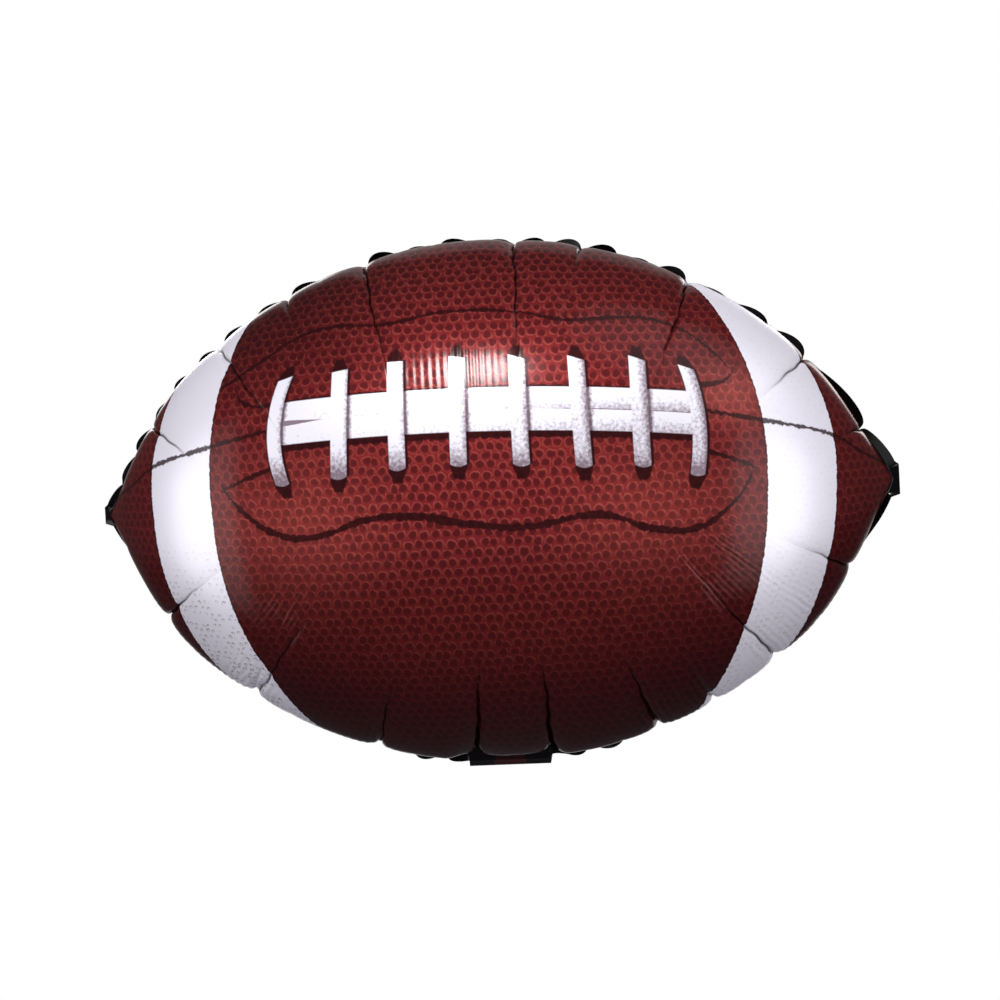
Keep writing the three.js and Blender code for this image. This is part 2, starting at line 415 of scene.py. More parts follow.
    @property
    def neck_offset(self) -> float:
        """A ply's outer face from the seam's plane where the valve films lie between."""
        return 1.5 * self.ply_gap + self.valve_film + self.film

    def arc(self, share: Array | float) -> Array | float:
        """Length along the seam from its middle."""
        return share * self.tip_angle * self.radius

    def creases(self, side: Side) -> list[Crease]:
        """The main creases of one arc.

        Args:
            side: The arc.

        Returns:
            Its creases, in order of their place.
        """
        found = list(self.top_creases if side is Side.TOP else self.bottom_creases)
        for x in self.neck_creases if side is Side.BOTTOM else ():
            at = math.asin(x / self.radius) / self.tip_angle
            found.append(Crease(at, self.neck_crease_reach, self.neck_crease_drift))
        return sorted(found, key=lambda crease: crease.at)

    def scallop_count(self, share: Array, side: Side) -> Array:
        """Scallops passed along an arc: whole numbers at the creases, longer ones to the right tip.

        Args:
            share: Places along the arc.
            side: The arc.

        Returns:
            How many scallops lie to the left of each place.
        """
        stops = np.array([-1.0, *(crease.at for crease in self.creases(side)), 1.0])
        middle = np.maximum(stops[1:] + stops[:-1], 0.0) / 2
        pitch = self.scallop_pitch + self.scallop_stretch * middle ** 3
        runs = np.maximum(1, np.round(np.diff(self.arc(stops)) / pitch))
        return np.interp(share, stops, np.concatenate([[0.0], np.cumsum(runs)]))

    def scallop_stops(self, side: Side) -> Array:
        """Finds where one scallop ends and the next begins.

        Args:
            side: The arc.

        Returns:
            The shares of the arc at which they meet.
        """
        share = np.linspace(-1, 1, self.samples)
        count = self.scallop_count(share, side)
        return np.interp(np.arange(1, round(count[-1])), count, share)

    def column_shares(self) -> Array:
        """Places the columns, closer together along each main crease and over the fine comb.

        Returns:
            Each column's share of the arcs, from -1 to 1.
        """
        share = np.linspace(-1, 1, self.samples)
        density = np.ones_like(share)
        for side in Side:
            for crease in self.creases(side):
                aside = np.abs(self.arc(share - crease.at))
                density += self.valley_density[0] * np.exp(-aside / self.valley_density[1])
                density += self.fold_density[0] * np.exp(-((aside / self.fold_density[1]) ** 2))
                swept = self.arc(share - crease.at) / (crease.drift * crease.reach + MM)
                ends = smooth_step(swept, *self.drift_start) * smooth_step(swept, *self.drift_end)
                density += self.drift_density * ends
        comb = (self.arc(share) - self.comb_columns[0]) / self.comb_columns[1]
        density += self.comb_density * np.exp(-(comb ** 4))
        passed = np.concatenate([[0.0], np.cumsum((density[1:] + density[:-1]) / 2)])
        shares = np.interp(np.linspace(0, passed[-1], self.columns + 1), passed, share)
        shares[[0, -1]] = [-1.0, 1.0]
        return shares

    def dome_height(self, x: Array, z: Array) -> Array:
        """Height of the smooth dome: depth(x) * sqrt(1 - |z / half height|^exponent).

        Args:
            x: Place along the long axis.
            z: Place across it.

        Returns:
            Height over the seam's plane.
        """
        half_height = np.maximum(np.sqrt(self.radius ** 2 - x ** 2) - self.arc_centre, 1e-9)
        girth = half_height / self.half_height
        half_depth = (self.depth / 2 - self.seal_offset) * girth * (1 + self.end_fullness * (1 - girth))
        across = np.minimum(np.abs(z) / half_height, 1.0)
        return half_depth * np.sqrt(1 - across ** self.section_exponent)

    def swell(self, share: Array, side: Side, facing: Facing) -> Array:
        """How far the lobes between the creases bulge out over the seam.

        They die away to the tips, and by the neck they leave room for the tail: on the back, where it
        lies folded, and less on the front, where it can be swung to.

        Args:
            share: Place along the arc, by column.
            side: The arc.
            facing: The panel.

        Returns:
            The bulge by column, in metres.
        """
        nearest = np.min([np.abs(self.arc(share - crease.at)) for crease in self.creases(side)], axis=0)
        lobe = 1 - self.lobe_notch * np.exp(-nearest / self.notch_width)
        lobe = lobe * (1 - smooth_step(np.abs(share), self.swell_fade, 1.0))
        if side is Side.TOP:
            return self.top_swell * lobe
        front = facing is Facing.FRONT
        ease, end = (self.neck_ease, self.neck_ease_end) if front else (1.0, 1.0)
        by_neck = 1 - smooth_step(np.abs(self.arc(share)), self.tail_width / 2, end * self.tail_width)
        return self.bottom_swell * lobe * (1 - ease * by_neck)

    def pucker_depth(self, share: Array, from_seam: Array, side: Side,
                     facing: Facing) -> tuple[Array, Array]:
        """How far the creases draw the film in, and where the folds pinch it shut and get painted shade.

        Each is a broad valley, depth * (1 - m / reach)^1.5 * exp(-aside / width) at a distance m in
        from the seam, with a sharp fold along its bottom that jogs as it runs. Ripples fill the
        spaces between the long ones of the lower half, height * cos(2 pi aside / pitch), small
        creases part the scallops, and the folds beside the neck open into a mouth at the seam.

        Args:
            share: Place along the arc, by column.
            from_seam: Distance in from the seam, by row and column.
            side: The arc.
            facing: The panel.

        Returns:
            Depth in metres and the painted shade of the folds from 0 to 1, both by row and column.
        """
        draw = np.random.default_rng(self.seed + side.value)
        rise = from_seam / self.swell_reach
        depth = -self.swell(share, side, facing) * rise * np.exp(1 - rise)
        pinch = np.zeros_like(depth)
        for crease in self.creases(side):
            beside_neck = crease.reach == self.neck_crease_reach
            fade = np.clip(1 - from_seam / crease.reach, 0, 1)
            held = smooth_step(fade, *self.fold_ease)
            jog = np.zeros_like(from_seam)
            for size, pitch in self.jogs:
                jog += size * np.sin(from_seam / pitch + draw.uniform(0, self.any_phase))
            jog = jog * smooth_step(from_seam, 0.0, self.jog_start) + crease.drift * from_seam
            signed = self.arc(share - crease.at) - jog
            aside = np.abs(signed)
            valley = fade ** self.crease_exponent * np.exp(-aside / self.crease_width)
            depth += self.crease_slope * crease.reach * valley
            fold_depth, fold_width, wide = self.fold_depth, self.fold_width, self.fold_shade_width
            if beside_neck:
                fold_depth, fold_width = self.neck_fold_depth, self.neck_fold_width
                wide = np.maximum(self.neck_fold_shade_width * fade, self.least_fold_shade)
                mouth = np.exp(-from_seam / self.neck_mouth_reach) * np.exp(-aside / self.neck_mouth_width)
                depth += self.neck_mouth * mouth
            depth += fold_depth * fade * held * np.exp(-aside / fold_width)
            # Painted shade for the material: where the fold pinches shut
            pinch = np.maximum(pinch, held * np.exp(-((aside / wide) ** 2)))
            if beside_neck or side is Side.TOP:
                continue
            outward = signed * crease.at > 0
            between = outward if abs(crease.at) < self.ripple_turn else ~outward
            spread = np.exp(-aside / np.where(between, self.ripple_near, self.ripple_far))
            begin, finish = (part * crease.reach for part in self.ripple_end)
            ends = smooth_step(from_seam, *self.ripple_start) * (1 - smooth_step(from_seam, begin, finish))
            ends = ends * (1 - self.ripple_thinning * smooth_step(from_seam, *self.ripple_thin))
            wave = np.cos(2 * math.pi * aside / self.ripple_pitch + draw.uniform(0, self.any_phase))
            height = self.ripple_height * smooth_step(crease.reach, *self.ripple_creases)
            depth += height * spread * ends * wave
        for at in self.scallop_stops(side):
            fade = np.clip(1 - from_seam / draw.uniform(*self.small_reach), 0, 1)
            aside = np.abs(self.arc(share - at) - draw.normal(0, self.small_drift) * from_seam)
            valley = fade ** self.crease_exponent * np.exp(-aside / self.small_width)
            depth += draw.uniform(*self.small_depth) * MM * valley
        return depth, pinch

    def comb(self, film: Array) -> Array:
        """Fine upright ripples where the front is tautest, height * cos(2 pi x / pitch) under a bell.

        Args:
            film: Flat film places.

        Returns:
            Depth of the ripples there, in metres.
        """
        bell, phase = 1.0, 2 * math.pi * film[..., 0] / self.comb_pitch
        for axis, (drift, pitch) in enumerate(self.comb_drift):
            place = film[..., axis]
            bell = bell * np.exp(-(((place - self.comb_middle[axis]) / self.comb_reach[axis]) ** 4))
            phase = phase + drift * np.sin(place / pitch)
        return self.comb_height * bell * np.cos(phase)

    def half_sheet(self, side: Side, facing: Facing) -> tuple[Array, Array, Array, Array, Array]:
        """One half of a panel, from the spine over the seam to the sealed edge's rim.

        Args:
            side: The arc that the half runs to.
            facing: The panel.

        Returns:
            Points as (x, height off the seam's plane, z), how far they lean to the back, flat film
            places, the distance in from the seam and the painted fold shade, all by row and column.
        """
        share = self.column_shares()
        angle = share * self.tip_angle
        at_tip = np.abs(share) == 1
        rim_x = self.radius * np.sin(angle)
        rim_z = np.where(at_tip, 0.0, side.value * (self.radius * np.cos(angle) - self.arc_centre))
        out_x = np.where(at_tip, np.sign(share), np.sin(angle))
        out_z = np.where(at_tip, 0.0, side.value * np.cos(angle))

        ring = 1 - (1 - np.linspace(0, 1, self.dome_rows + 1)) ** self.row_crowding
        out = np.sin(ring * math.pi / 2)[:, None]
        spine_x = self.spine_share * rim_x
        x = spine_x + out * (rim_x - spine_x)
        z = out * rim_z
        height = self.dome_height(x, z)
        height[-1] = 0.0

        steps = np.sqrt(np.diff(x, axis=0) ** 2 + np.diff(z, axis=0) ** 2 + np.diff(height, axis=0) ** 2)
        along = np.concatenate([np.zeros((1, len(share))), np.cumsum(steps, axis=0)])
        from_seam = along[-1] - along
        spine_steps = np.hypot(np.diff(x[0]), np.diff(height[0]))
        spine_film = np.concatenate([[0.0], np.cumsum(spine_steps)])
        spine_film -= spine_film[-1] / 2
        run = np.hypot(rim_x - spine_x, rim_z)
        run_x, run_z = (rim_x - spine_x) / run, rim_z / run
        film = np.stack([spine_film + along * run_x, along * run_z], axis=-1)

        depth, pinch = self.pucker_depth(share, from_seam, side, facing)
        depth += self.comb(film)
        lean = ((1 - ring) * math.pi / 2)[:, None]
        x = x - depth * np.cos(lean) * out_x
        z = z - depth * np.cos(lean) * out_z
        height = np.maximum(height - depth * np.sin(lean), 0) + self.seal_offset
        dome = np.stack([x, height, z], axis=-1)

        seal, seal_width, seal_lean = self.sealed_edge(share, dome[-1], out_x, out_z, side)
        seal_film = film[-1] + seal_width[..., None] * np.stack([run_x, run_z], axis=-1)
        pairs = (
            (dome, seal), (np.zeros_like(from_seam), seal_lean), (film, seal_film),
            (from_seam, -seal_width), (pinch, np.zeros_like(seal_width)),
        )
        return tuple(np.concatenate(pair) for pair in pairs)

    def tuck(self, share: Array, side: Side) -> Array:
        """How far the sealed edge is turned to the back: along the lower half and the left end.

        Args:
            share: Place along the arc, by column.
            side: The arc.

        Returns:
            The turn by column, in radians.
        """
        if side is Side.TOP:
            return math.radians(self.left_tuck) * (1 - smooth_step(share, *self.left_tuck_fade))
        past_neck = smooth_step(np.abs(self.arc(share)) / self.tail_width, *self.neck_tuck_fade)
        return math.radians(self.bottom_tuck) * past_neck * (1 - smooth_step(share, *self.right_tuck_fade))

    def sealed_edge(self, share: Array, seam: Array, out_x: Array, out_z: Array,
                    side: Side) -> tuple[Array, Array, Array]:
        """The sealed band outside the seam.

        It runs straight out from the seam by gap + (width - gap) * size * sin(pi * phase), with a
        size of its own for each scallop, and leans to the front and back by turns. Some of it is
        tucked behind the balloon. It is squared at the tips, and across the neck it runs down to just
        above the fold.

        Args:
            share: Place along the arc, by column.
            seam: The seam's points.
            out_x: The seam's outward direction along X.
            out_z: The same along Z.
            side: The arc.

        Returns:
            Points, distances from the seam and the lean to the back, by row and column, without the
            seam's own row.
        """
        count = self.scallop_count(share, side)
        number = np.floor(count).astype(int)
        phase = np.where(share < 0, count % 1.0, -count % 1.0)
        top = side is Side.TOP
        flatness = self.top_flatness if top else self.bottom_flatness
        bow = np.maximum(np.sin(math.pi * phase ** self.scallop_skew), 0) ** flatness
        size = np.resize(self.top_lobes if top else self.bottom_lobes, number.max() + 1)
        lean = np.where(number % 2 == 0, -1.0, 1.0) * self.ruffle * bow
        width = self.scallop_gap + (self.seal_width - self.scallop_gap) * size[number] * bow
        tuck = self.tuck(share, side)
        lean = lean * np.cos(tuck) + width * np.sin(tuck)
        width = width * np.cos(tuck)
        edge_x = seam[:, 0] + out_x * width
        edge_z = seam[:, 2] + out_z * width
        tab = self.tip_tab_height / 2 * np.where(share < 0, self.left_tab_share, 1.0)
        squared = np.abs(edge_z) < tab
        edge_x = np.where(squared, np.sign(share) * self.length / 2, edge_x)
        lean = np.where(squared, np.where(share < 0, self.left_tab_lean, 0.0), lean)
        offset = np.full_like(share, self.seal_offset)
        if not top:
            rim_x = self.radius * np.sin(share * self.tip_angle)
            half = self.tail_width / 2
            neck = 1 - smooth_step(np.abs(rim_x), half, half + self.neck_fillet)
            edge_x = edge_x + neck * (np.clip(rim_x, -half, half) - edge_x)
            edge_z = edge_z + neck * (self.neck_end - self.centre_height - edge_z)
            lean = lean * (1 - neck)
            offset = offset + neck * (self.neck_offset - offset)
        t = (np.arange(1, self.seal_rows + 1) / self.seal_rows)[:, None]
        edge = np.stack([edge_x, offset, edge_z], axis=-1)
        points = seam + t[..., None] * (edge - seam)
        return points, t * np.hypot(edge_x - seam[:, 0], edge_z - seam[:, 2]), t * lean

    def panel(self, facing: Facing) -> GridMesh:
        """A whole panel: both halves on one grid that shares the spine and the tips.

        Args:
            facing: The panel.

        Returns:
            Its grid, in the row frame.
        """
        sheets = {}
        for side in Side:
            points, lean, film, from_seam, pinch = self.half_sheet(side, facing)
            x, off, z = np.moveaxis(points, -1, 0)
            placed = np.stack([x, facing.value * off + lean, z + self.centre_height], axis=-1)
            sheets[side] = (placed, film, from_seam, pinch)
        rows, columns = sheets[Side.TOP][2].shape
        inner = (rows - 1) * (columns - 2)
        top = np.arange(rows * columns).reshape(rows, columns)
        bottom = top.copy()
        bottom[1:, 1:-1] = rows * columns + np.arange(inner).reshape(rows - 1, -1)
        joined = [
            np.concatenate([upper.reshape(rows * columns, -1), lower[1:, 1:-1].reshape(inner, -1)])
            for upper, lower in zip(sheets[Side.TOP], sheets[Side.BOTTOM])
        ]
        front = facing is Facing.FRONT
        quads = np.concatenate([grid_quads(top, front), grid_quads(bottom, not front)])
        flip = np.array([1.0 if front else -1.0, 1.0])
        return GridMesh(joined[0], quads, joined[1] * flip, joined[2].ravel(), joined[3].ravel())


@dataclass
class FillingTail:
    """The sealed tail below the neck: two plies that bend round the fold and lie out behind."""

    envelope: Envelope
    length: float = 0.075
    shaded_corner: float = 0.006
    fold_angle: float = 108.0
    fold_radius: float = 1.0 * MM
    channel_width: float = 0.028
    channel_rise: float = 0.25 * MM
    channel_start: float = 0.006
    columns: int = 48
    rows: int = 110
    row_shares: tuple[float, ...] = (0.0, 0.06, 0.3, 0.45, 1.0)
    fine_flap: float = 0.1

    def ply(self, facing: Facing) -> GridMesh:
        """A ply: a straight line across, carried down the neck, round the fold and along the tail.

        The path turns by (s - neck) / radius between its two straight parts. The ply lies on its
        own side of the path, and rises over the channel by rise * (1 - (x / half channel)^2).

        Args:
            facing: The panel that the ply belongs to.

        Returns:
            Its grid, in the row frame.
        """
        turn = math.radians(self.fold_angle)
        tangent = self.fold_radius * math.tan(turn / 2)
        neck = self.envelope.neck_end - tangent
        bent = neck + self.fold_radius * turn
        flap = self.length - tangent
        knots = np.array([0.0, neck, bent, bent + self.fine_flap * flap, bent + flap])
        s = np.interp(np.linspace(0, 1, self.rows + 1), self.row_shares, knots)[:, None]
        angle = np.clip((s - neck) / self.fold_radius, 0, turn)
        beyond = np.maximum(s - bent, 0)
        y = self.fold_radius * (1 - np.cos(angle)) + beyond * math.sin(turn)
        z = self.envelope.neck_end - np.minimum(s, neck) - self.fold_radius * np.sin(angle)
        z = z - beyond * math.cos(turn)

        to_end = np.minimum(bent + flap - s, self.shaded_corner)
        half = self.envelope.tail_width / 2 - self.shaded_corner
        half = half + np.sqrt(self.shaded_corner ** 2 - (self.shaded_corner - to_end) ** 2)
        x = np.linspace(-1, 1, self.columns + 1) * half
        puff = np.clip(1 - (2 * x / self.channel_width) ** 2, 0, 1)
        puff = puff * smooth_step(beyond, 0.0, self.channel_start)
        out = -facing.value * (self.envelope.neck_offset + self.channel_rise * puff)
        points = np.stack([x, y - out * np.cos(angle), z - out * np.sin(angle)], axis=-1)
        film = np.stack(np.broadcast_arrays(x, -s), axis=-1)
        quads = grid_quads(np.arange(x.size).reshape(x.shape), facing is Facing.BACK)
        flat = np.zeros(x.size)
        return GridMesh(points.reshape(-1, 3), quads, film.reshape(-1, 2), flat - self.shaded_corner, flat)


@dataclass(frozen=True)
class FilmPlace:
    """Nodes that place a point of the film: as a vector, split, and split after two strengths of fray."""

    flat: Node
    clean: Node
    rough: Node
    frayed: Node


@dataclass(frozen=True)
class LaceSpot:
    """Nodes that place a point of the film by the nearest cross lace, in millimetres."""

    x: bpy.types.NodeSocket
    z: Node
    level: Node
    rise: Node
    across: Node
    half: Node
    past: Node
    share: Node
    along: Node


@dataclass(frozen=True)
class InkLine:
    """An inked line: its width, whether both sides of the ball have it, and the points it runs through."""

    width: float
    mirrored: bool
    knots: Rows


@dataclass(frozen=True)
class FootballPrint:
    """Foil laminate with a leather football printed on it.

    Translucent gravure ink on vacuum-metallised polyester: the metal under the ink answers the lamps
    with a soft sheen in the ink's own colour, and the clear outer face adds a thin sharp gloss.
    Sizes are millimetres of flat film. A span says where a change starts and ends, and then, unless
    it is 0 to 1, what it changes from and to.
    """

    ground: str = "#742122"
    pebble: str = "#4A1416"
    gleam: str = "#A8574C"
    ink_line: str = "#2A0B0D"
    white: str = "#EFECF7"
    shade: str = "#897883"
    black_border_and_fold_shade: str = "#060506"

    # Ragged edges of the ink, the black border with the brown tongue that runs down the neck, and painted
    # fold shade
    fray_scale: float = 0.42
    line_fray: float = 2.6
    stripe_fray: float = 1.3
    border_edge: Span = (0.0, 0.6)
    tongue: Span = (0.0, -8.0, 19.0, 9.5)
    tongue_edge: Span = (0.5, -0.5)
    tongue_top: Span = (0.0, -1.0)
    fold_shade_strength: float = 0.9
    gloss: Span = (0.0, 1.0, 0.36, 0.0)

    # Pebbles: cells of a shaken lattice, in shares of its pitch
    pebble_pitch: float = 6.1
    pebble_rim: float = 0.45
    dimple_pitch: float = 4.3
    dimple_rim: float = 0.2
    shake: float = 2.0
    shake_scale: float = 0.22
    disorder: float = 0.3
    dot_edge: Span = (0.46, 0.22)
    rim_edge: Span = (0.13, 0.02)
    rim_turn: Span = (10.0, 60.0, 1.0, -1.0)
    rim_side: Span = (-0.4, 0.3)

    # Leather: how crisp the pebbles are, how bright it is over the ball (printed shading and painted
    # shade), and the patches of painted sheen, each by its middle, its reach both ways and its gain
    crisp_aside: Span = (40.0, 220.0, 0.8, 0.45)
    crisp_low: Span = (-120.0, -20.0, 0.42, 1.0)
    dull_dot: Span = (0.0, 1.0, 0.42, 0.0)
    rim_ink: float = 0.45
    sheen_tint: Span = (1.0, 2.0, 0.0, 0.35)
    tone_aside: Span = (225.0, 40.0, 1.05, 2.0)
    tone_left: Span = (-105.0, -30.0, 0.60, 1.0)
    tone_top: Span = (100.0, 60.0, 0.60, 1.0)
    tone_reach: float = 180.0
    leather_tone: Rows = (
        (-180, 0.18), (-118, 0.31), (-80, 0.56), (-45, 0.75), (5, 1.22), (60, 1.20), (95, 1.06), (130, 0.80),
        (180, 0.42),
    )
    sheen_patches: Rows = ((-105, -12, 78, 64, 1.38), (97, -12, 78, 64, 1.32), (142, 54, 45, 30, 1.54))

    # White stripes, dimpled in patches, most of all low on the left
    stripe_middle: float = 2.0
    stripe_axis: float = 15.0
    stripe_inner: float = 158.0
    stripe_outer: float = 202.5
    stripe_bend: float = 0.0018
    outer_bend: float = 0.0004
    stripe_lean: float = 0.0006
    stripe_edge: Span = (0.2, 0.7)
    stripe_outline: Span = (0.0, -0.9, 0.4, 1.0)
    dimple_low: Span = (-10.0, -70.0)
    dimple_right: Span = (0.0, 120.0, 0.0, 0.3)
    dimple_fade: Span = (-100.0, 100.0, 1.0, 0.35)
    patch_scale: float = 0.12
    patch_edge: Span = (0.40, 0.58)

    # Stitches: two wavy outlines round the laces, their hooks and a seam out to each tip
    ink_lines: tuple[InkLine, ...] = (
        InkLine(2.2, False, (
            (-150, 76), (-123, 91), (-100, 104), (-83, 107), (-50, 106), (-19, 111), (24, 109), (49, 103),
            (94, 103), (112, 98), (127, 87), (141, 72),
        )),
        InkLine(3.8, False, (
            (-148, 16), (-134, 0), (-119, -10), (-102, -14), (-56, -4), (-40, -4), (-5, -10), (22, -13),
            (67, -8), (94, -17), (116, -19), (133, -11), (152, 12),
        )),
        InkLine(2.6, True, ((116, 63), (130, 62), (142, 71))),
        InkLine(2.4, True, ((118, 26), (136, 20), (151, 14))),
        InkLine(2.4, True, ((116, 48), (158, 40), (203, 30), (222, 20), (252, 10))),
    )
    line_reach: float = 260.0
    line_levels: tuple[float, float] = (-60.0, 140.0)
    line_scale: float = 0.06
    line_swell: Span = (0.3, 0.7, 0.65, 1.35)
    line_edge: Span = (0.35, -0.35)
    line_ink: float = 0.92

    # Laces: eight bars over a band of two strands, each bar moved, bowed and sloped on its own
    lace_count: int = 8
    lace_pitch: float = 33.5
    lace_middle: float = 6.5
    lace_axis: float = 53.3
    lace_bend: float = 0.00037
    lace_crest: float = -25.0
    lace_half_height: float = 30.7
    lace_half_width: Span = (0.4, 0.5, 4.6, 4.0)
    lace_slant: Span = (0.0, 0.6, -0.25, 0.3)
    foot_bow: float = 0.07
    lace_edge: float = 0.3
    lace_rise: tuple[float, ...] = (-4.5, -3.8, -1.3, -0.6, -1.3, -2.0, -1.0, -4.5)
    lace_shift: tuple[float, ...] = (-4.6, 0.0, -1.0, 0.0, 0.5, 0.5, 0.0, -1.5)
    lace_bow: tuple[float, ...] = (0.0060, 0.0, 0.0, 0.0, 0.0, 0.0, 0.0, -0.0042)
    lace_slope: tuple[float, ...] = (-0.03, -0.03, 0.0, -0.01, 0.015, 0.04, 0.015, 0.055)
    move_spans: tuple[float, float, float, float] = (20.0, 10.0, 0.02, 0.4)
    band_half_height: float = 12.1
    band_ends: tuple[float, float] = (-112.0, 120.0)
    band_fade: float = 0.4
    hole_length: float = 7.0
    hole_mouth: tuple[float, float] = (4.8, 4.3)
    hole_taper: tuple[float, float] = (1.0, 0.5)
    hole_edge: float = 0.5
    hole_end: float = 0.6
    band_shadow: Span = (-4.4, -3.4)
    band_line: Span = (1.3, 0.8)
    shadow_ink: float = 0.94
    bar_line: Span = (0.9, 0.3)
    bar_line_ink: tuple[float, float] = (0.94, 0.45)

    # Shading of the cotton, mottled like a stipple
    grain_scale: float = 0.5
    mottle: float = 1.5
    cotton_tint: Span = (0.25, 1.1)
    upper_strand: Span = (9.0, 0.6)
    strand_gap: Span = (-0.2, 0.2)
    lower_strand: float = -2.0
    strand_right: Span = (-60.0, 110.0, 0.2, 0.8)
    beside_bar: Span = (4.2, 1.0)
    beside_right: Span = (0.0, 0.5)
    beside_depth: float = 1.15
    left_slit: Span = (-106.0, -86.0, 1.5, 0.0)
    right_slit: Span = (25.0, 60.0, 0.0, 0.35)
    slit_edge: Span = (0.15, -0.3, 0.0, 1.6)
    bar_right: Span = (0.2, 0.75)
    bar_side: tuple[float, float] = (-3.2, -6.5)
    bar_side_depth: tuple[float, float] = (0.75, 1.15)
    bar_foot: Span = (-0.45, -1.05)
    bar_foot_depth: float = 1.2
    bar_drop: float = 0.7

    def make(self, film_span: float) -> bpy.types.Material:
        """Builds the printed film's material.

        Args:
            film_span: Width of film, in metres, that the UV square covers.

        Returns:
            The material.
        """
        material, n = new_material("printed_foil_laminate")
        flat = film_place(n, film_span)
        fray = n("TexNoise 2D", {"Vector": flat, "Scale": self.fray_scale, "Detail": 2.0})
        fray = n("VectorMath SUBTRACT", fray.outputs["Color"], (0.5, 0.5, 0.5))
        rough, frayed = (
            n("SeparateXYZ", n("VectorMath ADD", flat, n("VectorMath SCALE", fray, size)))
            for size in (self.line_fray, self.stripe_fray)
        )
        film = FilmPlace(flat, n("SeparateXYZ", flat), rough, frayed)

        stripes = self.stripes(n, film)
        outline = n("MapRange SMOOTHSTEP", stripes, *self.stripe_outline)
        colour = n("Mix RGBA", outline, linear(self.ink_line), self.leather(n, film))
        inside = n("MapRange SMOOTHSTEP", stripes, *self.stripe_edge)
        colour = n("Mix RGBA", inside, colour, self.dimpled_white(n, film))
        colour = n("Mix RGBA", self.stitches(n, film), colour, linear(self.ink_line))
        colour = self.laces(n, film, colour)

        seam = n("Attribute", attribute_name="from_seam").outputs["Fac"]
        aside = n("Math ABSOLUTE", film.rough.outputs[0])
        aside = n("Math SUBTRACT", aside, n("MapRange", seam, *self.tongue))
        below = n("MapRange", film.clean.outputs[1], *self.tongue_top)
        tongue = n("Math MULTIPLY", n("MapRange", aside, *self.tongue_edge), below)
        printed = n("Math MAXIMUM", n("MapRange", seam, *self.border_edge), tongue)
        colour = n("Mix RGBA", printed, linear(self.black_border_and_fold_shade), colour)
        # Painted shade: the folds' pinched lines darkened towards black, in the border's black
        pinch = n("Attribute", attribute_name="pinch").outputs["Fac"]
        pinch = n("Math MULTIPLY", pinch, self.fold_shade_strength)
        colour = n("Mix RGBA", pinch, colour, linear(self.black_border_and_fold_shade))

        # Metal under ink, rough as foil is, beneath the clear face's own gloss, which is taken away where
        # the folds have painted shade
        gloss = n("MapRange", pinch, *self.gloss)
        face = n("BsdfPrincipled", {
            "Base Color": colour, "Metallic": 0.22, "Roughness": 0.38, "Specular IOR Level": 0.0,
            "Coat Weight": gloss, "Coat Roughness": 0.15, "Coat IOR": 1.5,
        })
        n("OutputMaterial", face)
        return material

    def pebbles(self, n: Adder, film: FilmPlace, pitch: float, rim: float) -> tuple[Node, Node]:
        """The leather's grain: a soft dot in each cell, with an arc of the raised rim beside it.

        The cells are a shaken hexagonal lattice: a square one, sheared by half a cell a row. The
        arc lies over the dot below the laces and under it above them, as light from one side would
        draw it.

        Args:
            n: Adds a node.
            film: The place on the film.
            pitch: From one cell to the next.
            rim: Radius of the arc, as a share of the pitch.

        Returns:
            The nodes that give how much dot and how much arc lie there, from 0 to 1.
        """
        row_height = math.sqrt(0.75)
        shake = n("TexNoise 2D", {"Vector": film.flat, "Scale": self.shake_scale, "Detail": 1.0})
        shake = n("VectorMath SUBTRACT", shake.outputs["Color"], (0.5, 0.5, 0.5))
        shaken = n("VectorMath ADD", film.flat, n("VectorMath SCALE", shake, self.shake))
        x, z = n("SeparateXYZ", shaken).outputs[:2]
        row = n("Math DIVIDE", z, pitch * row_height)
        column = n("Math SUBTRACT", n("Math DIVIDE", x, pitch), n("Math MULTIPLY", row, 0.5))
        lattice = n("CombineXYZ", column, row)
        cells = n("TexVoronoi 2D", {"Vector": lattice, "Scale": 1.0, "Randomness": self.disorder})
        offset = n("VectorMath SUBTRACT", lattice, cells.outputs["Position"])
        x, z = n("SeparateXYZ", offset).outputs[:2]
        aside = n("Math MULTIPLY_ADD", z, 0.5, x)
        height = n("Math MULTIPLY", z, row_height)
        distance = n("VectorMath LENGTH", n("CombineXYZ", aside, height)).outputs["Value"]
        dot = n("MapRange SMOOTHSTEP", distance, *self.dot_edge)
        turned = n("Math MULTIPLY", height, n("MapRange", film.clean.outputs[1], *self.rim_turn))
        above = n("MapRange SMOOTHSTEP", turned, *self.rim_side)
        ring = n("Math ABSOLUTE", n("Math SUBTRACT", distance, rim))
        ring = n("MapRange SMOOTHSTEP", ring, *self.rim_edge)
        return dot, n("Math MULTIPLY", ring, above)

    def leather(self, n: Adder, film: FilmPlace) -> Node:
        """Pebbled leather, darker towards the seams (printed shading and painted shade), with patches of
        painted sheen.

        Args:
            n: Adds a node.
            film: The place on the film.

        Returns:
            The node that gives the colour.
        """
        x, z = film.clean.outputs[:2]
        dot, arc = self.pebbles(n, film, self.pebble_pitch, self.pebble_rim)
        side = n("Math ABSOLUTE", x)
        crisp = n("MapRange", side, *self.crisp_aside)
        crisp = n("Math MULTIPLY", crisp, n("MapRange", z, *self.crisp_low))
